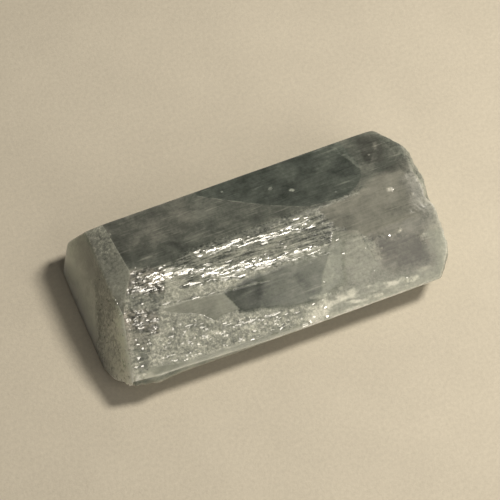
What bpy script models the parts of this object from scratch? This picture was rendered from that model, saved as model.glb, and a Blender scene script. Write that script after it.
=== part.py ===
# A single baryte crystal, lying on its flat base face.
#
# The crystal is long along X. A steep end facet closes it at -X and a rough break closes it
# at +X, with long growth faces between them. Every face is a plane: the solid starts as a
# block, and each plane trims away what lies outside it.
#
# Units are metres and +Z is up. The origin is the centre of the bounding box, on the base.

import math
import random

import bmesh
import bpy
from mathutils import Vector

MM = 0.001

# Driving dimensions of the crystal, in millimetres.
LENGTH = 48.0
RIDGE_Y = 1.1                # the crest line of the top, from the centre line
RIDGE_HEIGHT = 10.4
BAND_NEAR_Y = -4.0           # where the striated band gives way to the lower near slope
BASE_NEAR_Y = -5.3           # the -Y edge of the base
BASE_FAR_Y = 10.0            # the +Y edge of the base
LATERAL_FAR_Y = 11.85        # the widest line on the +Y side
LATERAL_FAR_HEIGHT = 4.1
LATERAL_NEAR_Y = -12.2       # the widest line on the -Y side, at the broken end
LATERAL_NEAR_HEIGHT = 4.5

# Slopes of the faces from level, in degrees. Over 90 the face looks downwards.
END_FACET_SLOPE = 68.5
END_BEVEL_SLOPE = 23.0
TOP_FAR_SLOPE = 2.5
BAND_SLOPE = 14.0
NEAR_SLOPE = 29.5
NEAR_STRIP_SLOPE = 66.0
UNDERCUT_SLOPE = 180.0 - 43.0
NEAR_UNDERSIDE_SLOPE = 180.0 - 25.0
FAR_UPPER_SLOPE = 66.0
FAR_UNDERSIDE_SLOPE = 180.0 - 66.0

# Headings in plan, in degrees from +X towards +Y.
FAR_HEADING = 90.0
NEAR_HEADING = -90.0
END_HEADING = 180.0
BREAK_HEADING = 0.0
END_BEVEL_HEADING = 179.0
NEAR_STRIP_HEADING = -91.8   # it narrows to nothing halfway along

# A point that the end bevel passes through: inboard of the end facet's foot, below the crest.
END_BEVEL_INSET = 5.85
END_BEVEL_BELOW_RIDGE = 0.4

# The break: its mean plane, the flakes off its near and far corners, and its upper lip.
# Each flake's plane passes through a point set back from the crystal's tip.
BREAK_SLOPE = 87.0
BREAK_HEIGHT = 3.0
FLAKE_SETBACK = 1.45
NEAR_FLAKE_HEADING = -37.0
NEAR_FLAKE_SLOPE = 84.0
NEAR_FLAKE_Y = -10.1
NEAR_FLAKE_HEIGHT = 5.0
FAR_FLAKE_HEADING = 33.0
FAR_FLAKE_SLOPE = 80.0
FAR_FLAKE_Y = 6.5
FAR_FLAKE_HEIGHT = 9.0
LIP_SLOPE = 48.0
LIP_SETBACK = 0.7
LIP_BELOW_RIDGE = 0.8

# Small chips that take off the break's corners.
CHIP_COUNT = 12
CHIP_BITE = 0.4              # the deepest that a chip reaches under a corner, in millimetres
CHIP_HEADING_SPREAD = 60.0
CHIP_SLOPES = (55.0, 125.0)
CHIP_SEED = 11

CRYSTAL_COLOUR = (0.33, 0.35, 0.32, 1.0)
CRYSTAL_ROUGHNESS = 0.3


def clear_scene():
    for item in list(bpy.data.objects):
        bpy.data.objects.remove(item, do_unlink=True)


def face_normal(heading, slope):
    """Outward normal of a face that looks along the heading, tilted by slope from level."""
    turn = math.radians(heading)
    tilt = math.radians(slope)
    return Vector((math.cos(turn) * math.sin(tilt), math.sin(turn) * math.sin(tilt), math.cos(tilt)))


def drop(run, slope):
    """How far a face falls over a level run."""
    return run * math.tan(math.radians(slope))


def trim(bm, point, heading, slope):
    """Cut away what lies outside the plane through a point (mm), and close the cut."""
    cut = bmesh.ops.bisect_plane(
        bm,
        geom=bm.verts[:] + bm.edges[:] + bm.faces[:],
        dist=1e-7,
        plane_co=Vector(point) * MM,
        plane_no=face_normal(heading, slope),
        clear_outer=True,
    )
    rim = [item for item in cut["geom_cut"] if isinstance(item, bmesh.types.BMEdge)]
    if rim:
        bmesh.ops.contextual_create(bm, geom=rim)


def starting_block(bm):
    """A block that holds the whole crystal, with its lowest face as the base."""
    bmesh.ops.create_cube(bm, size=1.0)
    size = Vector((LENGTH, 2.4 * LATERAL_FAR_Y, 1.4 * RIDGE_HEIGHT)) * MM
    for vert in bm.verts:
        vert.co = Vector((vert.co.x * size.x, vert.co.y * size.y, (vert.co.z + 0.5) * size.z))


def long_faces(bm):
    """The growth faces that run the length of the crystal."""
    band_near_height = RIDGE_HEIGHT - drop(RIDGE_Y - BAND_NEAR_Y, BAND_SLOPE)
    ridge = (0.0, RIDGE_Y, RIDGE_HEIGHT)
    lateral_far = (0.0, LATERAL_FAR_Y, LATERAL_FAR_HEIGHT)
    lateral_near = (0.0, LATERAL_NEAR_Y, LATERAL_NEAR_HEIGHT)
    trim(bm, ridge, FAR_HEADING, TOP_FAR_SLOPE)
    trim(bm, ridge, NEAR_HEADING, BAND_SLOPE)
    trim(bm, (0.0, BAND_NEAR_Y, band_near_height), NEAR_HEADING, NEAR_SLOPE)
    trim(bm, lateral_near, NEAR_STRIP_HEADING, NEAR_STRIP_SLOPE)
    trim(bm, lateral_near, NEAR_HEADING, UNDERCUT_SLOPE)
    trim(bm, (0.0, BASE_NEAR_Y, 0.0), NEAR_HEADING, NEAR_UNDERSIDE_SLOPE)
    trim(bm, lateral_far, FAR_HEADING, FAR_UPPER_SLOPE)
    trim(bm, (0.0, BASE_FAR_Y, 0.0), FAR_HEADING, FAR_UNDERSIDE_SLOPE)


def end_facet(bm):
    """The steep facet at -X, and the narrow bevel between it and the top."""
    foot = -LENGTH / 2.0
    bevel_point = (foot + END_BEVEL_INSET, LATERAL_FAR_Y / 2.0, RIDGE_HEIGHT - END_BEVEL_BELOW_RIDGE)
    trim(bm, (foot, 0.0, 0.0), END_HEADING, END_FACET_SLOPE)
    trim(bm, bevel_point, END_BEVEL_HEADING, END_BEVEL_SLOPE)


def broken_end(bm):
    """The break at +X: corner flakes first, then small chips that take off its corners."""
    tip = LENGTH / 2.0
    near_flake = (tip - FLAKE_SETBACK, NEAR_FLAKE_Y, NEAR_FLAKE_HEIGHT)
    far_flake = (tip - FLAKE_SETBACK, FAR_FLAKE_Y, FAR_FLAKE_HEIGHT)
    lip = (tip - LIP_SETBACK, 0.0, RIDGE_HEIGHT - LIP_BELOW_RIDGE)
    trim(bm, (tip, 0.0, BREAK_HEIGHT), BREAK_HEADING, BREAK_SLOPE)
    trim(bm, near_flake, NEAR_FLAKE_HEADING, NEAR_FLAKE_SLOPE)
    trim(bm, far_flake, FAR_FLAKE_HEADING, FAR_FLAKE_SLOPE)
    trim(bm, lip, BREAK_HEADING, LIP_SLOPE)
    draw = random.Random(CHIP_SEED)
    for _ in range(CHIP_COUNT):
        heading = draw.uniform(-CHIP_HEADING_SPREAD, CHIP_HEADING_SPREAD)
        slope = draw.uniform(*CHIP_SLOPES)
        normal = face_normal(heading, slope)
        reach = max(vert.co.dot(normal) for vert in bm.verts) / MM
        bite = draw.uniform(0.3, 1.0) * CHIP_BITE
        trim(bm, normal * (reach - bite), heading, slope)


def centre_on_base(bm):
    """Shift the solid so that its bounding box is centred on the origin in plan."""
    for axis in (0, 1):
        low = min(vert.co[axis] for vert in bm.verts)
        high = max(vert.co[axis] for vert in bm.verts)
        for vert in bm.verts:
            vert.co[axis] -= (low + high) / 2.0


def crystal_material():
    material = bpy.data.materials.new("baryte")
    material.use_nodes = True
    shader = material.node_tree.nodes["Principled BSDF"]
    shader.inputs["Base Color"].default_value = CRYSTAL_COLOUR
    shader.inputs["Roughness"].default_value = CRYSTAL_ROUGHNESS
    shader.inputs["Metallic"].default_value = 0.0
    return material


def baryte_crystal():
    mesh = bpy.data.meshes.new("baryte_crystal")
    bm = bmesh.new()
    starting_block(bm)
    long_faces(bm)
    end_facet(bm)
    broken_end(bm)
    bmesh.ops.remove_doubles(bm, verts=bm.verts[:], dist=0.01 * MM)
    centre_on_base(bm)
    bmesh.ops.recalc_face_normals(bm, faces=bm.faces[:])
    bm.to_mesh(mesh)
    bm.free()
    mesh.materials.append(crystal_material())
    crystal = bpy.data.objects.new("baryte_crystal", mesh)
    bpy.context.scene.collection.objects.link(crystal)
    return crystal


clear_scene()
baryte_crystal()
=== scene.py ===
# A single baryte crystal lying on pale paper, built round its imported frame.
import math
import bmesh
import bpy
import numpy as np
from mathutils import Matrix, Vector


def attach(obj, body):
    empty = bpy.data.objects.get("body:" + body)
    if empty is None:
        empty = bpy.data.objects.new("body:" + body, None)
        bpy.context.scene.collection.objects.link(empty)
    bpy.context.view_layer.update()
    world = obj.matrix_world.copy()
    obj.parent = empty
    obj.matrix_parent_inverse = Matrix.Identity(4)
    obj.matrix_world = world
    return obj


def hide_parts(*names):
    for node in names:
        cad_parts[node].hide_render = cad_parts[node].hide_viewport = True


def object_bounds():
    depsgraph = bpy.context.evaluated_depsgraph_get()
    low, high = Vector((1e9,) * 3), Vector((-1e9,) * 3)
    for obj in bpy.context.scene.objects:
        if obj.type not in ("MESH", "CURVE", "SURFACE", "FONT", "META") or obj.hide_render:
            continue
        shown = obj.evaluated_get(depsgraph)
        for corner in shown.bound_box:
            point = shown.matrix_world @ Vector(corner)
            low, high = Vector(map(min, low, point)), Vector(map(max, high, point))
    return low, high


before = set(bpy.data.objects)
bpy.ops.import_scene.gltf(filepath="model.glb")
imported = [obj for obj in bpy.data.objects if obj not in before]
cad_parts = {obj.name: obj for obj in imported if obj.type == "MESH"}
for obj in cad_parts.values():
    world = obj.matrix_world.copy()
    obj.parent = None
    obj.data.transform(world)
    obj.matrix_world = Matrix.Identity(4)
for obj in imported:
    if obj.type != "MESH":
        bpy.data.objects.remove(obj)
cadLow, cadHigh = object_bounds()
mm = 0.001
print("frame loaded")


class Grain:
    # Smooth gradient noise over arrays of points, about -1 to 1.
    def __init__(self, seed):
        draw = np.random.RandomState(seed)
        self.order = np.concatenate([draw.permutation(256)] * 3)
        lean = draw.normal(size=(256, 3))
        self.lean = lean / np.linalg.norm(lean, axis=1)[:, None]

    def at(self, x, y, z=0.0):
        p = np.stack(np.broadcast_arrays(x, y, z), -1)
        cell = np.floor(p).astype(int)
        f = p - cell
        cell &= 255
        w = f * f * f * (f * (f * 6 - 15) + 10)
        total = np.zeros(len(p))
        for i, j, k in np.ndindex(2, 2, 2):
            key = self.order[self.order[self.order[cell[:, 0] + i] + cell[:, 1] + j] + cell[:, 2] + k]
            share = np.abs(1 - i - w[:, 0]) * np.abs(1 - j - w[:, 1]) * np.abs(1 - k - w[:, 2])
            total += share * (self.lean[key] * (f - (i, j, k))).sum(1)
        return total * 1.7

    def layers(self, x, y, z=0.0, count=4, gain=0.5):
        total, weight = 0.0, 0.0
        for turn in range(count):
            size, scale = gain ** turn, 2.03 ** turn
            total = total + size * self.at(x * scale + 17.3 * turn, y * scale, z * scale)
            weight += size
        return total / weight


def ease(low, high, value):
    t = np.clip((value - low) / (high - low), 0, 1)
    return t * t * (3 - 2 * t)


def bell(value, middle, width):
    return np.exp(-((value - middle) / width) ** 2)


def within(outline, x, y):
    # Signed distance to a closed outline in plan, positive inside.
    points = np.array(outline, float)
    inside = np.zeros(len(x), bool)
    nearest = np.full(len(x), 1e9)
    for (ax, ay), (bx, by) in zip(points, np.roll(points, -1, axis=0)):
        ex, ey = bx - ax, by - ay
        t = np.clip(((x - ax) * ex + (y - ay) * ey) / (ex * ex + ey * ey), 0, 1)
        nearest = np.minimum(nearest, np.hypot(x - ax - t * ex, y - ay - t * ey))
        slant = ex * (y - ay) / (ey if abs(ey) > 1e-9 else 1e-9)
        inside ^= ((ay > y) != (by > y)) & (x < ax + slant)
    return np.where(inside, nearest, -nearest)


def mosaic(x, y, seed):
    # A net of irregular cells: the offset from the nearest cell's centre, and that cell's two random values.
    draw = np.random.RandomState(seed).uniform(size=(64, 64, 5))
    column, row = np.floor(x).astype(int), np.floor(y).astype(int)
    nearest = np.full(len(x), 1e9)
    found = np.zeros((len(x), 4))
    for i, j in np.ndindex(3, 3):
        cx, cy = column + i - 1, row + j - 1
        pick = draw[cx % 64, cy % 64]
        dx, dy = x - cx - pick[:, 0], y - cy - pick[:, 1]
        gap = np.hypot(dx, dy)
        closer = gap < nearest
        nearest = np.where(closer, gap, nearest)
        found[closer] = np.stack([dx, dy, pick[:, 2], pick[:, 3]], -1)[closer]
    return found.T


def turned(x, y, degrees):
    # Distance along and across a direction in plan.
    a = math.radians(degrees)
    return x * math.cos(a) + y * math.sin(a), y * math.cos(a) - x * math.sin(a)


# The crystal. Lengths are in millimetres, angles in degrees. Tones go from 0, clear and dark, to 1, white.
crystal = {
    "seed": 7,
    "sliceAlong": 2.7,           # width of the first slices, before the even splits
    "sliceAcross": 1.5,
    "sliceUp": 2.7,
    "evenSplits": 4,
    "sharpAngle": 20,            # edges sharper than this are worn
    "edgeRound": 0.22,           # how far a worn edge reaches into its faces
    "edgeNibble": 0.45,          # the same at the bruised corners
    "leastReach": 0.06,
    "softness": 0.30,            # rounding of an edge as a share of its reach
    "leastFace": 0.3,            # smaller flat faces, in square millimetres, are left out of the rounding
    "onFace": 0.02,              # how near a face counts as on it
    "footLobe": 0.35,            # swelling of the near left foot
    "lobePlace": -19.3,
    "lobeWidth": 2.4,
    "breakDepth": 0.62,          # relief of the broken end
    "breakReach": 4.5,           # how far the break's warp carries into the crystal
    "notch": 0.55,               # depth of the notch in its upper rim
    "notchPlace": -2.6,
    "notchWidth": 1.3,
    "striaeTurn": -9.6,          # heading of the striae
    "striaeDepth": 0.07,
    "pitDepth": 0.04,
    "crestLean": (-0.10, 0.02),  # common slope of the small facets along the crest
    "slopeLean": (-0.10, -0.10),
    "leanFan": 0.003,            # how that slope opens along the crystal, per millimetre
    "creaseSlope": 1.01,         # the line on the end facet where its frosted rim starts
    "creaseStart": 3.3,
    "smoothAngle": 35,           # edges flatter than this are shaded smooth
    "swell": 0.02,               # relief of each kind of ground
    "chainFacet": (1.3, 0.4),    # length and width of the small facets along the chains
    "frostFacet": (0.42, 0.3),
    "pitFacet": (0.9, 0.4),
    "sideStriae": 0.03,
    "sideGrain": 0.02,
    "endGrain": 0.012,
    # How deep smooth zones lie below the rest.
    "sunken": {"leftEnd": 0.02, "nearPatches": 0.03, "terrace": 0.015, "farPatch": 0.02},
    # Places more worn than the rest, as ranges along and across, and how much further the wear reaches there.
    "worn": {
        "nearFoot": dict(along=(-18.0, -21.0), across=(-7.5, -9.5), further=0.5),
        "farShoulder": dict(along=(-18.5, -22.0), across=(5.0, 8.5), further=0.3),
        "farCorner": dict(along=(16.5, 20.5), across=(6.5, 9.5), further=0.35),
        "endCrease": dict(along=(-18.6, -20.2), across=(0.5, -2.5), further=0.9),
    },
    # Tones of the faces, and how much their parts differ from them.
    "tone": {
        "sides": 0.56, "near": 0.74, "far": 0.515, "crest": 0.60, "bevel": 0.69, "end": 0.70, "endRim": 0.70,
        # The end facet's foot and the glow along its rim's near edges are painted light, standing in for
        # light that comes through the crystal.
        "endFoot": 1.0, "crease": 0.88, "broken": 0.63, "rimRise": 0.20, "rimGlow": 0.15, "striae": 0.22,
        "drift": 0.05,
    },
    # Frosting of the parts that aren't smooth: from 0, polished, to 1, sugary white.
    "frost": {"broken": 0.3, "edging": 0.9, "bevel": 0.3, "bevelRise": 0.6, "rim": 0.75},
}

# What shows on the top. Each zone has its tone, how soft and how ragged its border is, how smooth it is, the
# share of it that glints, and its outline in plan. A later zone lies over an earlier one.
zones = {
    "farLeft": dict(
        tone=0.515, edge=2.5, ragged=3.0, calm=1.0, glint=0,
        outline=[(-21.0, 12.0), (-6.0, 12.0), (-7.0, 4.0), (-19.0, 3.2)]),
    "leftPatch": dict(
        tone=0.465, edge=0.5, ragged=1.6, calm=1.0, glint=0,
        outline=[(-17.7, 5.4), (-13.5, 4.3), (-8.4, 2.6), (-9.4, 1.6), (-11.6, 0.3), (-14.7, 0.8),
                 (-18.6, 1.9)]),
    "farPatch": dict(
        tone=0.455, edge=0.1, ragged=0.2, calm=1.0, glint=0,
        outline=[(-6.0, 12.5), (-5.0, 8.6), (-2.2, 6.8), (0.6, 5.1), (3.5, 3.4), (7.2, 1.7), (9.1, 1.4),
                 (11.9, 1.2), (13.5, 1.4), (14.9, 2.2), (15.9, 3.3), (16.3, 5.0), (15.8, 7.2),
                 (14.6, 12.5)]),
    "farShade": dict(
        tone=0.42, edge=1.2, ragged=3.0, calm=1.0, glint=0,
        outline=[(-3.0, 12.5), (-1.0, 8.9), (4.0, 7.6), (10.0, 8.2), (14.0, 12.5)]),
    "topRight": dict(
        tone=0.61, edge=0.9, ragged=2.0, calm=1.0, glint=0,
        outline=[(8.6, 0.6), (9.5, -2.2), (13.0, -4.6), (20.0, -6.4), (25.0, -6.6), (25.0, 4.5),
                 (17.0, 2.4), (14.0, 0.9)]),
    "lightStrip": dict(
        tone=0.77, edge=0.3, ragged=1.2, calm=0.4, glint=0.02,
        outline=[(-14.5, 0.2), (-15.5, -2.4), (-17.5, -5.0), (-12.5, -4.9), (-10.0, -3.8),
                 (-10.5, -2.6), (-12.4, -1.2), (-12.6, 0.2)]),
    "leftEnd": dict(
        tone=0.59, edge=0.12, ragged=0.45, calm=0.0, glint=0.04,
        outline=[(-13.5, 0.4), (-13.6, -1.4), (-13.8, -2.4), (-15.5, -4.4), (-16.2, -6.1),
                 (-17.4, -6.9), (-18.5, -8.4), (-19.4, -9.8), (-20.6, -13.0), (-26.0, -13.0),
                 (-26.0, 1.6)]),
    "leftMargin": dict(
        tone=0.8, edge=1.6, ragged=2.5, calm=0.4, glint=0.04,
        outline=[(-20.4, 1.0), (-19.8, -2.0), (-20.3, -5.0), (-21.4, -8.0), (-26.0, -8.0),
                 (-26.0, 1.0)]),
    "upperPits": dict(
        tone=0.55, edge=0.7, ragged=2.0, calm=0.0, glint=0.26,
        outline=[(-19.2, 2.2), (-13.2, 0.3), (-14.2, -2.8), (-19.6, -1.0)]),
    "lowerPits": dict(
        tone=0.55, edge=0.7, ragged=2.0, calm=0.0, glint=0.24,
        outline=[(-21.0, -2.6), (-15.9, -4.6), (-16.9, -7.0), (-21.4, -4.6)]),
    "speckled": dict(
        tone=0.635, edge=0.5, ragged=1.5, calm=0.2, glint=0.06,
        outline=[(-21.6, -4.6), (-17.6, -6.7), (-18.8, -8.3), (-22.2, -6.3)]),
    "footPatch": dict(
        tone=0.76, edge=0.6, ragged=1.2, calm=0.6, glint=0,
        outline=[(-22.6, -8.6), (-20.3, -10.4), (-20.9, -11.8), (-23.0, -10.4)]),
    "nearFrost": dict(
        tone=0.72, edge=0.6, ragged=2.2, calm=0.0, glint=0.13,
        outline=[(-14.6, -6.0), (-12.0, -6.6), (-9.6, -8.3), (-5.6, -8.1), (-3.0, -8.9), (1.2, -10.0),
                 (3.0, -10.2), (1.6, -11.4), (-8.5, -11.2), (-14.1, -11.1), (-17.2, -10.2),
                 (-16.2, -8.2)]),
    "midPatch": dict(
        tone=0.56, edge=0.7, ragged=1.2, calm=1.0, glint=0,
        outline=[(-7.4, -5.1), (-3.0, -4.7), (3.0, -4.3), (10.0, -4.2), (8.4, -8.8), (4.6, -9.5),
                 (1.0, -9.4), (-3.6, -8.3), (-5.8, -7.7)]),
    "nearPatch": dict(
        tone=0.45, edge=0.8, ragged=0.5, calm=1.0, glint=0,
        outline=[(-7.4, -5.2), (-1.8, -4.4), (-1.4, -5.2), (-3.4, -8.1), (-6.0, -7.8)]),
    "terrace": dict(
        tone=0.685, edge=0.12, ragged=0.3, calm=1.0, glint=0,
        outline=[(-15.4, -4.5), (-12.9, -4.5), (-9.7, -4.8), (-7.1, -5.0), (-5.7, -7.5), (-8.2, -7.4),
                 (-9.4, -7.7), (-10.4, -6.7), (-12.0, -6.0), (-14.4, -5.2)]),
    "rightSide": dict(
        tone=0.69, edge=0.25, ragged=0.5, calm=0.8, glint=0.006,
        outline=[(9.2, -2.6), (7.9, -4.7), (6.9, -6.0), (5.8, -7.3), (5.2, -8.7), (3.9, -9.1),
                 (2.6, -10.4), (1.6, -13.0), (25.0, -13.0), (25.0, -7.6), (13.4, -7.6), (12.4, -3.6)]),
    "brownPatch": dict(
        tone=0.51, edge=2.2, ragged=3.0, calm=1.0, glint=0,
        outline=[(14.0, -4.8), (20.4, -6.2), (20.6, -9.6), (18.0, -10.0), (14.0, -8.6)]),
    "lip": dict(
        tone=0.67, edge=0.4, ragged=0.9, calm=1.0, glint=0,
        outline=[(-19.4, -10.1), (-14.1, -10.9), (-8.5, -11.0), (-3.0, -11.1), (1.1, -11.4),
                 (2.0, -14.0), (-23.0, -14.0)]),
    "veil": dict(
        tone=0.54, edge=0.5, ragged=3.0, calm=1.0, glint=0,
        outline=[(13.4, 10.5), (14.9, 8.3), (16.2, 5.6), (16.8, 3.2), (18.4, 3.4), (17.9, 5.6),
                 (16.8, 8.4), (16.0, 10.5)]),
    "smoke": dict(
        tone=0.46, edge=0.7, ragged=3.5, calm=1.0, glint=0,
        outline=[(17.8, 9.0), (20.6, 8.2), (20.4, 6.0), (19.0, 4.2), (17.5, 4.6), (17.2, 6.6)]),
    "cornerHaze": dict(
        tone=0.52, edge=0.8, ragged=3.0, calm=1.0, glint=0,
        outline=[(19.6, 12.0), (20.4, 7.4), (19.4, 4.0), (17.2, 2.6), (25.0, 1.4), (25.0, 12.0)]),
    "endCloud": dict(
        tone=0.7, edge=1.0, ragged=2.6, calm=1.0, glint=0,
        outline=[(20.9, -5.7), (22.4, -5.6), (23.2, -6.8), (22.6, -9.0), (21.4, -9.9), (20.6, -8.0)]),
    "whiteFoot": dict(
        tone=0.94, edge=1.1, ragged=1.5, calm=0.4, glint=0.07,
        outline=[(3.0, -10.0), (5.4, -9.6), (6.2, -10.8), (3.4, -12.0), (1.8, -12.0)]),
}

# Zones of a browner body, above zero, and of a greener one, below.
hues = {
    "farLeft": 0.4, "topRight": 0.5, "upperPits": 0.9, "lowerPits": 0.9, "brownPatch": 1.0, "leftMargin": 0.7,
    "speckled": 0.4, "smoke": 0.5, "farPatch": -0.7, "midPatch": -0.3, "nearPatch": -0.3,
}

# Chains of bright facets and pale lines: points in plan, half width, share of glinting facets, tone.
# Where they glint, their lighter tone is partly pale cracked flakes and partly painted glint.
chains = [
    ([(-14.6, -0.4), (-12.3, -0.8), (-8.7, -1.8), (-5.9, -2.4), (-2.5, -3.0), (3.0, -3.9), (7.4, -4.4)],
     0.62, 1.0, 0.66),
    ([(-8.2, 0.5), (-3.0, 0.1), (1.8, -0.7), (6.4, -0.6), (8.6, -0.9)], 0.44, 1.0, 0.64),
    ([(4.0, 0.55), (7.5, 0.2), (10.6, -0.1)], 0.12, 0.8, 0.56),
    ([(-12.0, -2.8), (-8.7, -3.2), (-3.8, -4.1)], 0.22, 0.9, 0.56),
    ([(-17.0, -1.4), (-15.0, -2.2)], 0.3, 0.8, 0.52),
    ([(-15.4, -4.0), (-10.4, -4.55), (-0.5, -5.6)], 0.1, 0.5, 0.62),
    ([(-13.0, -7.2), (-9.0, -8.6), (-2.0, -9.4), (2.0, -10.4)], 0.3, 0.35, 0.64),
    ([(-3.0, -11.0), (0.4, -11.3), (2.0, -11.6)], 0.25, 0.5, 0.66),
    ([(7.0, -9.9), (12.0, -10.4), (16.0, -10.9)], 0.40, 0.0, 0.92),
    ([(5.4, -11.6), (10.0, -11.9), (15.0, -12.1)], 0.26, 0.0, 0.86),
    ([(-5.0, 8.6), (-2.2, 6.8), (0.6, 5.1), (3.5, 3.4), (6.4, 2.0)], 0.06, 0.0, 0.66),
    ([(13.4, 1.0), (16.5, 0.3), (18.3, 0.0), (19.4, -0.1)], 0.14, 0.0, 0.68),
    ([(13.8, 9.2), (15.3, 7.0), (16.1, 5.0), (16.6, 3.6)], 0.26, 0.0, 0.61),
    ([(16.9, 3.4), (18.2, 4.6), (19.2, 6.2), (19.4, 7.2)], 0.32, 0.0, 0.60),
    ([(20.9, 6.4), (21.6, 4.4)], 0.30, 0.0, 0.58),
    ([(7.6, -10.9), (9.8, -11.2), (12.6, -11.3)], 0.20, 0.0, 0.95),
    ([(13.4, -10.4), (15.2, -10.7), (17.8, -11.0)], 0.26, 0.0, 0.95),
    ([(3.6, -9.0), (5.6, -9.4), (7.8, -9.2)], 0.22, 0.0, 0.86),
    ([(4.6, -10.6), (7.4, -10.3), (9.6, -10.5)], 0.24, 0.0, 0.95),
    ([(18.2, -10.2), (20.4, -10.5)], 0.20, 0.0, 0.80),
]

# Small white flecks: place in plan, radius, tone.
flecks = [
    (18.5, 0.0, 0.32, 0.80), (21.3, -1.5, 0.20, 0.72), (17.7, -5.2, 0.30, 0.80), (6.6, 4.7, 0.28, 0.78),
    (-1.9, 8.0, 0.16, 0.66), (18.1, 5.8, 0.16, 0.70), (19.4, 6.8, 0.14, 0.66), (-17.9, 7.6, 0.30, 0.62),
    (5.9, -9.3, 0.30, 0.78), (7.1, -9.5, 0.22, 0.74), (16.6, -11.0, 0.45, 0.78), (4.1, 6.0, 0.3, 0.52),
    (12.9, -4.6, 0.12, 0.66), (14.6, -6.4, 0.14, 0.66), (11.8, 2.2, 0.16, 0.55),
]


def cleanSolid(source):
    # The CAD solid with whole flat faces, its sharp edges as pairs of points, its faces as planes.
    bm = bmesh.new()
    bm.from_mesh(source.data)
    bmesh.ops.remove_doubles(bm, verts=bm.verts[:], dist=1e-7)
    bmesh.ops.dissolve_limit(bm, angle_limit=math.radians(0.4), verts=bm.verts[:], edges=bm.edges[:])
    edges = [tuple(np.array(vert.co) / mm for vert in edge.verts) for edge in bm.edges
             if edge.calc_face_angle() > math.radians(crystal["sharpAngle"])]
    wide = [face for face in bm.faces if face.calc_area() > crystal["leastFace"] * mm * mm]
    normals = np.array([face.normal for face in wide])
    offsets = np.array([max(face.normal.dot(vert.co) for vert in face.verts) for face in wide]) / mm
    return bm, edges, (normals, offsets)


def placeMask(name, x, y):
    # How far one of the worn places holds at a point.
    spot = crystal["worn"][name]
    return ease(*spot["along"], x) * ease(*spot["across"], y)


def wearAt(edges, place, reach):
    # Distance to the nearest sharp edge, and how far a point is within the worn strip along it.
    gap = np.full(len(place), 1e9)
    for start, stop in edges:
        run = stop - start
        t = np.clip((place - start) @ run / (run @ run), 0, 1)
        gap = np.minimum(gap, np.sqrt(((place - start - t[:, None] * run) ** 2).sum(axis=1)))
    return gap, np.clip(1 - gap / reach, 0, 1)


def softened(place, flats, softness):
    # Points drawn in to a copy of the solid with rounded edges, and the way out of it at each.
    normals, offsets = flats
    for _ in range(3):
        over = place @ normals.T - offsets
        most = over.max(axis=1)
        share = np.exp((over - most[:, None]) / softness[:, None])
        total = share.sum(axis=1)
        out = share @ normals / total[:, None]
        step = np.maximum(most + softness * np.log(total), 0) / (out ** 2).sum(axis=1)
        place = place - step[:, None] * out
    return place, out / np.linalg.norm(out, axis=1)[:, None]


def cutAcross(bm, axis, step, only):
    # Parallel cuts through the faces that pass the test, so that a regular net of edges covers them.
    low, high = cadLow[axis], cadHigh[axis]
    count = math.ceil((high - low) / (step * mm))
    for turn in range(1, count):
        place, normal = Vector(), Vector()
        place[axis] = low + (high - low) * turn / count
        normal[axis] = 1.0
        faces = [face for face in bm.faces if only(face.normal)]
        parts = {part for face in faces for part in (face, *face.edges, *face.verts)}
        bmesh.ops.bisect_plane(bm, geom=list(parts), dist=2e-7, plane_co=place, plane_no=normal)


def fineMesh(source):
    # A finely divided copy of the CAD solid, with the edges and faces that it wears by.
    bm, edges, flats = cleanSolid(source)
    alongStep, acrossStep, upStep = (crystal[name] for name in ("sliceAlong", "sliceAcross", "sliceUp"))
    cutAcross(bm, 0, alongStep, lambda n: n.z > 0.15 and abs(n.x) < 0.7)
    cutAcross(bm, 0, 2 * alongStep, lambda n: n.z <= 0.15 and abs(n.x) < 0.7)
    cutAcross(bm, 1, acrossStep, lambda n: n.z > 0.15 or abs(n.x) > 0.6)
    cutAcross(bm, 1, 3 * acrossStep, lambda n: n.z < -0.15 and abs(n.x) < 0.6)
    cutAcross(bm, 2, upStep, lambda n: abs(n.z) < 0.45)
    mesh = bpy.data.meshes.new("crystalFine")
    bm.to_mesh(mesh)
    bm.free()
    piece = bpy.data.objects.new("crystal", mesh)
    bpy.context.scene.collection.objects.link(piece)
    split = piece.modifiers.new("split", "SUBSURF")
    split.subdivision_type = "SIMPLE"
    split.levels = crystal["evenSplits"]
    split.render_levels = crystal["evenSplits"]
    graph = bpy.context.evaluated_depsgraph_get()
    finished = bpy.data.meshes.new_from_object(piece.evaluated_get(graph))
    piece.modifiers.clear()
    piece.data = finished
    bpy.data.meshes.remove(mesh)
    print("fine mesh:", len(finished.polygons), "faces")
    return piece, edges, flats


def lineGap(points, x, y):
    # Distance to an open line of points in plan.
    gap = np.full(len(x), 1e9)
    for (ax, ay), (bx, by) in zip(points, points[1:]):
        ex, ey = bx - ax, by - ay
        t = np.clip(((x - ax) * ex + (y - ay) * ey) / (ex * ex + ey * ey), 0, 1)
        gap = np.minimum(gap, np.hypot(x - ax - t * ex, y - ay - t * ey))
    return gap


def facets(x, y, size, leanX, leanY, spread, seed):
    # Relief of small flat facets, each leaning its own way about a common lean, in millimetres.
    wide, high = size
    dx, dy, ownX, ownY = mosaic(x / wide, y / high, seed)
    slopeX = leanX + spread * (2 * ownX - 1)
    slopeY = leanY + spread * (2 * ownY - 1)
    return slopeX * dx * wide + slopeY * dy * high


def zoneMasks(x, y):
    # How far each named zone holds at a point of the top, from 0 to 1, with ragged borders.
    ragged = Grain(crystal["seed"] + 1)
    wobble = 0.3 * ragged.layers(x / 1.3, y / 1.0, count=4)
    masks = {}
    for name, zone in zones.items():
        gap = within(zone["outline"], x, y) + wobble * zone["ragged"]
        masks[name] = ease(-zone["edge"] / 2, zone["edge"] / 2, gap)
    return masks


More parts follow.
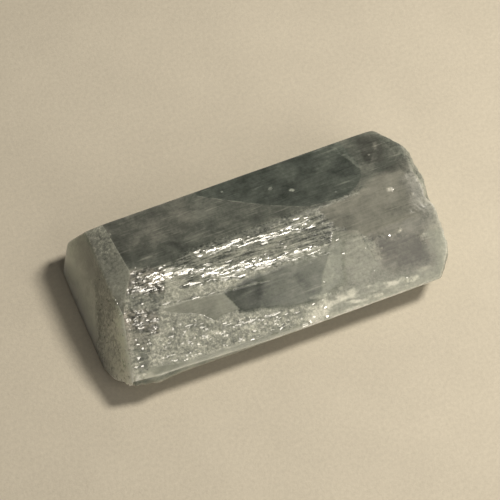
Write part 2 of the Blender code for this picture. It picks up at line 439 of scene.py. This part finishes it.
def chainMasks(x, y):
    # The same for the chains. Those without glinting facets are broken up into wisps.
    ragged = Grain(crystal["seed"] + 10)
    wobble = ragged.layers(x / 1.1, y / 0.45, count=3)
    patchy = ease(-0.4, 0.3, ragged.layers(x / 1.6, y / 1.1, 7.0, count=3))
    return [ease(1.5 * half, 0.6 * half, lineGap(points, x, y) + 1.3 * half * wobble)
            * (1 if share else patchy) for points, half, share, _ in chains]


def fleckMasks(x, y):
    # The same for the flecks.
    ragged = Grain(crystal["seed"] + 11)
    wobble = ragged.layers(x / 0.3, y / 0.25, count=2)
    return [ease(1.3 * radius, 0.5 * radius, np.hypot((x - cx) * 0.8, y - cy) + 0.6 * radius * wobble)
            for cx, cy, radius, _ in flecks]


def reliefOfTop(x, y, zone, calm, glitter):
    # Striae, small leaning facets, pits and shallow steps of the top, in millimetres.
    grain = Grain(crystal["seed"])
    along, across = turned(x, y, crystal["striaeTurn"])
    bend = 0.15 * grain.layers(x / 4.0, y / 3.0, 3.0, count=2)
    striae = grain.layers(along / 2.6, (across + bend) / 0.3, count=3)
    band = bandMask(x, y)
    steep = ease(-3.8, -4.2, y)
    leanX, leanY = (crest + steep * (slope - crest)
                    for crest, slope in zip(crystal["crestLean"], crystal["slopeLean"]))
    leanX = leanX + crystal["leanFan"] * x
    rough = (1 - calm) * (1 - glitter) * ease(11.0, 6.0, x)
    seed = crystal["seed"]
    sunken = crystal["sunken"]
    relief = crystal["swell"] * grain.layers(x / 5.0, y / 3.5, 9.0, count=2)
    relief += (0.25 + 0.75 * band) * rough * crystal["striaeDepth"] * striae
    relief += glitter * facets(along, across + bend, crystal["chainFacet"], leanX, leanY, 0.08, seed + 2)
    frosted = facets(x, y, crystal["frostFacet"], 0.4 * leanX, 0.4 * leanY, 0.10, seed + 3)
    relief += (1 - band) * rough * frosted
    pits = np.maximum(zone["upperPits"], zone["lowerPits"])
    relief += pits * crystal["pitDepth"] * grain.layers(x / 0.9, y / 0.7, 5.0, count=3)
    relief += pits * facets(along, across, crystal["pitFacet"], leanX, leanY, 0.10, seed + 4)
    nearPatches = np.maximum(zone["midPatch"], zone["nearPatch"])
    relief -= sunken["leftEnd"] * zone["leftEnd"] + sunken["nearPatches"] * nearPatches
    relief -= sunken["terrace"] * zone["terrace"] + sunken["farPatch"] * zone["farPatch"]
    return relief


def bandMask(x, y):
    # The striated crest, where the light catches.
    grain = Grain(crystal["seed"] + 5)
    edge = 0.5 * grain.layers(x / 2.5, y / 2.0, count=2)
    upper = ease(1.3, 0.3, y + edge + 0.03 * x)
    lower = ease(-4.4, -3.4, y + edge + 0.1 * x)
    return upper * lower * ease(-19.0, -16.0, x) * ease(15.0, 9.0, x)


def breakDepthAt(y, z):
    # How far the broken end is hollowed, over its width and height.
    grain = Grain(crystal["seed"] + 6)
    bowls = np.abs(grain.layers(y / 4.2, z / 3.4, count=3))
    small = grain.layers(y / 1.0, z / 0.8, 4.0, count=3)
    notch = crystal["notch"] * bell(y, crystal["notchPlace"], crystal["notchWidth"]) * ease(6.5, 9.0, z)
    return crystal["breakDepth"] * (0.05 + 0.9 * bowls + 0.2 * (small + 0.6)) + notch


def touching(place, flats, chosen):
    # True for points on one of the chosen flat faces.
    normals, offsets = flats
    over = place @ normals[chosen].T - offsets[chosen]
    return over.max(axis=1) > -crystal["onFace"]


def shapeCrystal(piece, edges, flats):
    # Softens the edges, raises the relief and hollows the broken end, then paints the material's fields.
    mesh = piece.data
    place = np.zeros(3 * len(mesh.vertices), np.float32)
    mesh.vertices.foreach_get("co", place)
    place = place.reshape(-1, 3).astype(float) / mm
    x, y, z = place.T
    lean, rise = flats[0][:, 0], flats[0][:, 2]
    onTop = touching(place, flats, (rise > 0.8) & (lean > -0.3))
    onEnd = touching(place, flats, lean < -0.6) & ~onTop
    onBevel = touching(place, flats, (lean < -0.3) & (lean > -0.6)) & ~onTop & ~onEnd
    onBase = touching(place, flats, rise < -0.99)
    grain = Grain(crystal["seed"] + 8)

    worn = {name: spot["further"] for name, spot in crystal["worn"].items()}
    nearFoot, farShoulder, farCorner, endCrease = (placeMask(name, x, y) for name in worn)
    endCrease = endCrease * ease(1.5, 3.0, z)
    bruise = nearFoot + 0.5 * ease(18.0, 22.0, x)
    reach = crystal["edgeRound"] * (1 + 0.4 * grain.layers(x / 1.5, y / 1.5, z / 1.5, count=3))
    nibble = 0.6 + 1.2 * grain.layers(x / 0.9, y / 0.9, z / 0.9 + 4, count=3)
    reach += crystal["edgeNibble"] * bruise * nibble
    reach += worn["farShoulder"] * farShoulder + worn["nearFoot"] * nearFoot + worn["farCorner"] * farCorner
    ragged = 0.4 * grain.layers(x / 1.5, y / 1.0, z / 1.0 + 2, count=3)
    reach += endCrease * (1 - 0.7 * nearFoot) * (worn["endCrease"] + ragged)
    reach = np.maximum(reach, crystal["leastReach"])
    edgeGap, wear = wearAt(edges, place, reach)

    zone = zoneMasks(x, y)
    chain = chainMasks(x, y)
    glitter = np.max([mask * share for mask, (_, _, share, _) in zip(chain, chains)], axis=0)
    glitter *= ease(10.0, 5.0, x)
    calm = ease(0.8, 1.8, y)
    for name, mask in zone.items():
        calm = calm + mask * (zones[name]["calm"] - calm)
    calm *= 1 - glitter
    inner = ease(0.0, 0.35 + 1.3 * endCrease, edgeGap)
    relief = np.where(onTop, reliefOfTop(x, y, zone, calm, glitter) * inner, 0.0)
    sides = ~(onTop | onEnd | onBevel | onBase)
    along = grain.layers(x / 6.0, y / 0.7, z / 0.5, count=3)
    rough = crystal["sideGrain"] * grain.layers(x / 1.2, y / 1.0, z / 1.0)
    relief += np.where(sides, crystal["sideStriae"] * along + rough, 0) * inner
    ripple = crystal["endGrain"] * grain.layers(x / 3, y / 2.5, z / 2.5, count=2)
    relief += np.where(onEnd | onBevel, ripple * inner, 0)

    lobe = bell(x, crystal["lobePlace"], crystal["lobeWidth"]) * ease(-10.6, -11.6, y) * ease(0.0, 1.2, z)
    moved, outward = softened(place, flats, crystal["softness"] * reach)
    moved = (moved + outward * (relief + crystal["footLobe"] * lobe)[:, None]) * mm
    tail = ease(cadHigh.x / mm - crystal["breakReach"], cadHigh.x / mm - 0.4, x)
    moved[:, 0] -= breakDepthAt(y, z) * tail * mm
    moved = np.clip(moved, cadLow, cadHigh)
    mesh.vertices.foreach_set("co", moved.astype(np.float32).ravel())
    part = dict(top=onTop, end=onEnd, bevel=onBevel, wear=wear, calm=calm, endCrease=endCrease, gap=edgeGap,
                broken=tail, glitter=glitter)
    paintCrystal(mesh, x, y, z, zone, chain, part)
    mesh.shade_smooth()
    mesh.set_sharp_from_angle(angle=math.radians(crystal["smoothAngle"]))
    mesh.update()


def paintCrystal(mesh, x, y, z, zone, chain, part):
    # Fields that the material reads: tone, hue, frosting, striation, edge wear with painted rim light, and
    # shares of glinting flakes.
    tones, frosting = crystal["tone"], crystal["frost"]
    grain = Grain(crystal["seed"] + 9)
    along, across = turned(x, y, crystal["striaeTurn"])
    tone = np.full(len(x), tones["sides"])

    def lay(amount, target):
        nonlocal tone
        tone = tone + amount * (target - tone)

    top, end, bevel = (part[name].astype(float) for name in ("top", "end", "bevel"))
    lay(top, tones["near"])
    lay(top * ease(-4.6, -3.4, y + 0.1 * x), tones["crest"])
    lay(top * ease(0.2, 1.6, y + 0.4 * grain.layers(x / 2, y / 2)), tones["far"])
    for name, mask in zone.items():
        lay(top * mask, zones[name]["tone"])
    # Chains are laid in their tones. Where they glint, the lighter tone is partly pale flakes and partly
    # painted glint.
    for mask, (_, _, _, target) in zip(chain, chains):
        lay(top * mask * 0.9, target)
    lay(top * part["endCrease"] * ease(1.6, 0.2, part["gap"]), tones["crease"])
    spots = fleckMasks(x, y)
    for mask, (_, _, _, target) in zip(spots, flecks):
        lay(top * mask, target)
    band = top * np.maximum(bandMask(x, y), 0.5 * zone["leftEnd"]) * (1 - part["calm"])
    striae = grain.layers(along / 3.2, across / 0.28, count=3)
    tone = tone + band * (1 - part["glitter"]) * tones["striae"] * striae

    lay(bevel, tones["bevel"])
    lay(end, tones["end"])
    crease = crystal["creaseSlope"] * z - crystal["creaseStart"] - y
    crease = crease + 0.5 * grain.layers(y / 1.2, z / 1.2, 3.0, count=3)
    rim = end * ease(-0.9, 0.9, crease)
    # The end facet's foot is painted lighter, standing in for light that comes through the crystal to it.
    lay(end * ease(7.5, 2.5, z), tones["endFoot"])
    # The rim is laid lighter towards the near side, and a painted glow along its near edges stands in for
    # light coming through the thin edges.
    paintedGlow = ease(-0.5, -4.0, y) * ease(3.4, 0.8, part["gap"] + 3 * ease(3.0, 1.0, z))
    lay(rim, tones["endRim"] + tones["rimRise"] * ease(-0.5, -4.0, y) + tones["rimGlow"] * paintedGlow)
    lay(ease(22.3, 23.6, x + 0.6 * grain.layers(y / 1.5, z / 1.5, count=2)), tones["broken"])
    drift = tones["drift"] * grain.layers(x / 2.4, y / 1.8, z / 1.8, count=4)
    tone = tone + drift * (1 + ease(0, 3, y))

    edging = end * ease(1.2, 0.2, np.abs(crease - 0.4)) * ease(9.5, 7.5, z)
    frost = top * (1 - part["calm"]) * (1 - 0.5 * band) * (1 - 0.6 * part["glitter"])
    onBevel = bevel * (frosting["bevel"] + frosting["bevelRise"] * ease(3.0, 6.0, y))
    onRest = [part["broken"] * frosting["broken"], edging * frosting["edging"], rim * frosting["rim"]]
    frost = np.max([frost, onBevel, *onRest, *[mask * top for mask in spots]], axis=0)
    # Edges are painted lighter, partly as frosted wear and partly as painted rim light. The lightening fades
    # towards the far side and at the end crease.
    wear = part["wear"] * (1 - 0.75 * ease(0.0, 4.0, y)) * (1 - 0.9 * part["endCrease"])
    sparkle = 0.008 * top * ease(1.0, 0.0, y) + 0.05 * band * part["glitter"]
    for name, mask in zone.items():
        sparkle = sparkle + top * mask * (zones[name]["glint"] - sparkle)
    hue = -0.7 * end * (1 - rim) - 0.4 * rim
    for name, target in hues.items():
        hue = hue + top * zone[name] * (target - hue)
    sparkle = sparkle + rim * (0.05 - sparkle)
    fields = dict(hue=0.5 + 0.5 * hue, tone=tone, frost=np.clip(frost, 0, 1), band=band, wear=wear,
                  sparkle=sparkle, glitter=top * part["glitter"], broken=part["broken"])
    for name, field in fields.items():
        layer = mesh.attributes.new(name, "FLOAT", "POINT")
        layer.data.foreach_set("value", field.astype(np.float32))


class Wire:
    # A shader socket that takes part in plain arithmetic.
    def __init__(self, shader, socket):
        self.shader = shader
        self.socket = socket

    def join(self, operation, first, second):
        return self.shader.add("ShaderNodeMath", {"operation": operation}, {0: first, 1: second})

    def __add__(self, other):
        return self.join("ADD", self, other)

    def __sub__(self, other):
        return self.join("SUBTRACT", self, other)

    def __rsub__(self, other):
        return self.join("SUBTRACT", other, self)

    def __mul__(self, other):
        return self.join("MULTIPLY", self, other)

    def __gt__(self, other):
        return self.join("GREATER_THAN", self, other)

    def __lt__(self, other):
        return self.join("LESS_THAN", self, other)

    __radd__ = __add__
    __rmul__ = __mul__


class Finish:
    # One material's node tree.
    def __init__(self, name):
        self.material = bpy.data.materials.new(name)
        self.material.use_nodes = True
        self.tree = self.material.node_tree
        self.tree.nodes.clear()
        self.output = self.tree.nodes.new("ShaderNodeOutputMaterial")

    def add(self, kind, settings=None, inputs=None, out=0):
        node = self.tree.nodes.new(kind)
        for name, value in (settings or {}).items():
            if name == "stops":
                self.setStops(node.color_ramp.elements, value)
            else:
                setattr(node, name, value)
        for name, value in (inputs or {}).items():
            if isinstance(value, Wire):
                self.tree.links.new(value.socket, node.inputs[name])
            else:
                node.inputs[name].default_value = value
        return Wire(self, node.outputs[out])

    def setStops(self, elements, stops):
        while len(elements) < len(stops):
            elements.new(0.5)
        for element, (position, colour) in zip(elements, stops):
            element.position = position
            element.color = (*colour, 1)

    def finish(self, surface, volume=None):
        self.tree.links.new(surface.socket, self.output.inputs["Surface"])
        if volume:
            self.tree.links.new(volume.socket, self.output.inputs["Volume"])
        return self.material

    def field(self, name):
        return self.add("ShaderNodeAttribute", {"attribute_name": name}, out="Fac")

    def noise(self, where, scale, detail=3.0, rough=0.55, warp=0.0):
        return self.add("ShaderNodeTexNoise", {}, {
            "Vector": where, "Scale": scale, "Detail": detail, "Roughness": rough, "Distortion": warp})

    def mix(self, first, second, factor):
        return self.add("ShaderNodeMix", {"data_type": "VECTOR"}, {0: factor, 4: first, 5: second}, out=1)

    def stretched(self, where, scale):
        # Coordinates that run along the striae.
        return self.add("ShaderNodeMapping", {"vector_type": "POINT"}, {
            "Vector": where, "Rotation": (0, 0, math.radians(-crystal["striaeTurn"])), "Scale": scale})

    def flakes(self, where, size, share):
        # Small mirror-like cleavage flakes: which way each turns, and 1 on the share that lies bare.
        look = baryteLook
        along = self.stretched(where, tuple(1 / length for length in size))
        sway = self.add("ShaderNodeTexNoise", {}, {"Vector": along, "Scale": 0.9, "Detail": 2.0}, out="Color")
        along = self.add("ShaderNodeVectorMath", {"operation": "MULTIPLY_ADD"}, {
            0: sway, 1: (look["flakeSway"],) * 3, 2: along})
        cell = self.add("ShaderNodeTexVoronoi", {}, {"Vector": along, "Scale": 1.0}, out="Color")
        crack = self.add("ShaderNodeTexVoronoi", {"feature": "DISTANCE_TO_EDGE"}, {
            "Vector": along, "Scale": 1.0}, out="Distance")
        parts = self.add("ShaderNodeSeparateColor", {}, {"Color": cell}, out="Blue")
        bare = share > parts
        whole = crack > look["crackWidth"]
        lean = self.add("ShaderNodeVectorMath", {"operation": "MULTIPLY_ADD"}, {
            0: cell, 1: (look["flakeSpread"], look["flakeSpread"], 0), 2: look["cleavage"]})
        fan = self.add("ShaderNodeVectorMath", {"operation": "MULTIPLY_ADD"}, {
            0: where, 1: (-look["flakeFan"], -look["flakeFan"], 0), 2: lean})
        outward = self.add("ShaderNodeVectorTransform", {
            "vector_type": "NORMAL", "convert_from": "OBJECT", "convert_to": "WORLD"}, {"Vector": fan})
        return outward, bare * whole

    def spread(self, value, before, after=(0.0, 1.0)):
        return self.add("ShaderNodeMapRange", {"interpolation_type": "SMOOTHSTEP"}, {
            "Value": value, "From Min": before[0], "From Max": before[1],
            "To Min": after[0], "To Max": after[1]})


baryteLook = {
    "bodyStops": [
        (0.00, (0.020, 0.022, 0.024)),
        (0.30, (0.060, 0.067, 0.066)),
        (0.50, (0.170, 0.182, 0.168)),
        (0.75, (0.430, 0.435, 0.395)),
        (1.00, (0.860, 0.850, 0.790)),
    ],
    "greenTint": (0.94, 1.02, 0.97, 1),
    "brownTint": (1.04, 0.985, 0.94, 1),
    "index": 1.636,
    "scatterReach": (0.0036, 0.0038, 0.0036),
    "clearTint": (0.80, 0.85, 0.83, 1),
    "absorption": (0.70, 0.76, 0.73, 1),
    "absorptionDensity": 60.0,       # per metre
    "grainScale": 5200.0,            # per metre, as are the other scales
    "cloudScale": 260.0,
    "streakScale": (330.0, 4200.0, 2600.0),
    "flakeSize": (0.0016, 0.00022, 0.0008),    # length, width and depth of a flake along the crest
    "sparkSize": (0.0004, 0.00022, 0.0004),    # the same for the small ones elsewhere
    "cleavage": (0.12, -0.38, 0.935),          # the way their faces turn
    "flakeSpread": 0.16,
    "flakeFan": 3.0,                 # how the flakes fan out, per metre
    "flakeSway": 1.4,                # how crooked the flakes are
    "crackWidth": 0.10,              # dark gaps between flakes
    "cloudShare": 0.34,              # how much each texture lightens or darkens the body
    "streakShare": 0.15,
    "bandStreak": 0.75,
    "speckShare": 0.12,
    "grainShare": 0.06,
    "frostSpeck": 0.7,
    "frostGrain": 0.5,
    "speckRatio": 0.45,              # size of the specks' scale against the grain's
    "scratchRange": (0.62, 0.74),    # noise values over which scratches show
    "wearAndRimLightShare": 0.14,
    "scratchShare": 0.09,
    "clumpRange": (0.38, 0.58),      # noise values over which flakes thicken, and their share there
    "clumpShare": (0.25, 0.75),
    "bumpHeight": 0.00006,
    "bumpStrength": 0.5,
    "bumpGrain": 0.6,                # height of each texture against the frosted specks
    "bumpStreak": 0.25,
    "bumpBand": 1.2,
    "gloss": 0.12,                   # roughness of a clean face, and what frosting and breaking add
    "frostGloss": 0.24,
    "brokenGloss": 0.35,
    "speckGloss": 0.1,
    "clearGloss": 0.06,              # the same for the clear body
    "clearFrostGloss": 0.3,
    "scatterShare": 0.85,
    "milkRange": (0.15, 0.65),       # tones over which the body turns from clear to milky, and its milk there
    "milkShare": (0.45, 0.97),
}


def baryteFinish():
    look = baryteLook
    shader = Finish("baryte")
    where = shader.add("ShaderNodeTexCoord", out="Object")
    tone = shader.field("tone")
    frost = shader.field("frost")
    band = shader.field("band")
    wear = shader.field("wear")
    grain = shader.noise(where, look["grainScale"], 2.0)
    speck = shader.noise(where, look["grainScale"] * look["speckRatio"], 3.0)
    cloud = shader.noise(where, look["cloudScale"], 6.0, 0.6, 0.6)
    along = shader.stretched(where, look["streakScale"])
    streak = shader.noise(along, 1.0, 4.0, 0.6, 0.3)
    scratch = shader.spread(shader.noise(along, 0.55, 2.0), look["scratchRange"])

    body = tone + (cloud - 0.5) * look["cloudShare"]
    body = body + (streak - 0.5) * (band * look["bandStreak"] + look["streakShare"])
    body = body + (speck - 0.5) * look["speckShare"] + (grain - 0.5) * look["grainShare"]
    body = body + frost * ((grain - 0.5) * look["frostGrain"] + (speck - 0.5) * look["frostSpeck"])
    # Edges lightened by wear and by painted rim light, and pale scratches.
    body = body + wear * look["wearAndRimLightShare"] + scratch * look["scratchShare"]
    colour = shader.add("ShaderNodeValToRGB", {"stops": look["bodyStops"]}, {"Fac": body}, out="Color")
    tint = shader.add("ShaderNodeMix", {"data_type": "RGBA"}, {
        0: shader.field("hue"), 6: look["greenTint"], 7: look["brownTint"]}, out=2)
    colour = shader.add("ShaderNodeMix", {"data_type": "RGBA", "blend_type": "MULTIPLY"}, {
        0: 1.0, 6: colour, 7: tint}, out=2)

    clump = shader.spread(shader.noise(along, 0.35, 2.0), look["clumpRange"], look["clumpShare"])
    clump = shader.field("glitter") * clump
    flake, glint = shader.flakes(where, look["flakeSize"], clump)
    spark, twinkle = shader.flakes(where, look["sparkSize"], shader.field("sparkle"))
    height = grain * frost * look["bumpGrain"] + speck * frost
    height = height + streak * (band * look["bumpBand"] + look["bumpStreak"])
    bump = shader.add("ShaderNodeBump", {}, {
        "Strength": look["bumpStrength"], "Distance": look["bumpHeight"], "Height": height}, out="Normal")
    normal = shader.mix(shader.mix(bump, spark, twinkle), flake, glint)
    normal = shader.add("ShaderNodeVectorMath", {"operation": "NORMALIZE"}, {0: normal})
    roughness = frost * look["frostGloss"] + look["gloss"] + (speck - 0.5) * look["speckGloss"]
    roughness = roughness + shader.field("broken") * look["brokenGloss"]
    milky = shader.add("ShaderNodeBsdfPrincipled", {"subsurface_method": "RANDOM_WALK"}, {
        "Base Color": colour, "Roughness": roughness, "IOR": look["index"], "Normal": normal,
        "Subsurface Weight": look["scatterShare"], "Subsurface Radius": look["scatterReach"],
        "Subsurface Scale": 1.0})
    clear = shader.add("ShaderNodeBsdfPrincipled", {}, {
        "Base Color": look["clearTint"], "Roughness": frost * look["clearFrostGloss"] + look["clearGloss"],
        "IOR": look["index"], "Transmission Weight": 1.0, "Normal": normal})
    milk = shader.spread(body, look["milkRange"], look["milkShare"])
    surface = shader.add("ShaderNodeMixShader", {}, {0: milk, 1: clear, 2: milky})
    inside = shader.add("ShaderNodeVolumeAbsorption", {}, {
        "Color": look["absorption"], "Density": look["absorptionDensity"]})
    return shader.finish(surface, inside)


piece, edges, flats = fineMesh(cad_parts["baryte_crystal"])
shapeCrystal(piece, edges, flats)
piece.data.materials.clear()
piece.data.materials.append(baryteFinish())
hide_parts("baryte_crystal")
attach(piece, "root")
print("crystal shaped and finished")

# The setting: a pale paper surface, a soft warm lamp, a weak fill lamp and a dim room.
setting = {
    "cameraTurn": -22.5,
    "cameraRise": 60.0,
    "cameraAway": 0.36,
    "aim": (-0.00072, 0.00125, 0.005),
    "lens": 198.0,
    "lampToward": (0.666, -0.09, 1.0),
    "lampAway": 0.30,
    "lampAcross": 0.066,
    "lampPower": 0.64,
    "lampColour": (1.0, 0.93, 0.81),
    "fillToward": (0.5, -1.0, 0.75),
    "fillAway": 0.30,
    "fillAcross": 0.25,
    "fillPower": 0.25,
    "roomColour": (1.0, 0.95, 0.86),
    "roomStrength": 0.072,
    "paperColour": (0.76, 0.70, 0.585),
    "paperSize": 0.9,
    "paperMottle": 0.10,         # how much lighter and darker its fibres are
}


def facing(turn, rise):
    # Unit vector from the crystal towards a viewer.
    a, e = math.radians(turn), math.radians(rise)
    return Vector((math.sin(a) * math.cos(e), -math.cos(a) * math.cos(e), math.sin(e)))


def aimed(data, name, place, target):
    thing = bpy.data.objects.new(name, data)
    thing.location = place
    thing.rotation_euler = (Vector(place) - Vector(target)).to_track_quat("Z", "Y").to_euler()
    bpy.context.scene.collection.objects.link(thing)
    return thing


def paperFinish():
    shader = Finish("paper")
    where = shader.add("ShaderNodeTexCoord", out="Object")
    fibre = shader.noise(where, 1900.0, 5.0, 0.7)
    wave = shader.noise(where, 90.0, 2.0)
    shade = fibre * 0.7 + wave * 0.3
    low = tuple((1 - setting["paperMottle"]) * part for part in setting["paperColour"])
    high = tuple((1 + setting["paperMottle"]) * part for part in setting["paperColour"])
    stops = [(0.3, low), (0.7, high)]
    colour = shader.add("ShaderNodeValToRGB", {"stops": stops}, {"Fac": shade}, out="Color")
    bump = shader.add("ShaderNodeBump", {}, {
        "Strength": 0.35, "Distance": 0.0002, "Height": shade}, out="Normal")
    return shader.finish(shader.add("ShaderNodeBsdfPrincipled", {}, {
        "Base Color": colour, "Roughness": 0.85, "Specular IOR Level": 0.2, "Normal": bump}))


def paper():
    bm = bmesh.new()
    bmesh.ops.create_grid(bm, x_segments=8, y_segments=8, size=setting["paperSize"] / 2)
    mesh = bpy.data.meshes.new("paper")
    bm.to_mesh(mesh)
    bm.free()
    mesh.materials.append(paperFinish())
    sheet = bpy.data.objects.new("paper", mesh)
    bpy.context.scene.collection.objects.link(sheet)


def lampAndRoom():
    for name in ("lamp", "fill"):
        data = bpy.data.lights.new(name, "AREA")
        data.shape = "DISK"
        data.size = setting[name + "Across"]
        data.energy = setting[name + "Power"]
        data.color = setting["lampColour"]
        place = Vector(setting[name + "Toward"]).normalized() * setting[name + "Away"]
        aimed(data, name, place, (0, 0, 0))
    world = bpy.data.worlds.new("room")
    world.use_nodes = True
    background = world.node_tree.nodes["Background"]
    background.inputs["Color"].default_value = (*setting["roomColour"], 1)
    background.inputs["Strength"].default_value = setting["roomStrength"]
    bpy.context.scene.world = world


def camera():
    data = bpy.data.cameras.new("camera")
    data.lens = setting["lens"]
    data.clip_start = 0.01
    data.clip_end = 10.0
    aim = Vector(setting["aim"])
    place = aim + facing(setting["cameraTurn"], setting["cameraRise"]) * setting["cameraAway"]
    bpy.context.scene.camera = aimed(data, "camera", place, aim)
    bpy.context.scene.view_settings.view_transform = "Standard"


paper()
lampAndRoom()
camera()
print("setting ready")
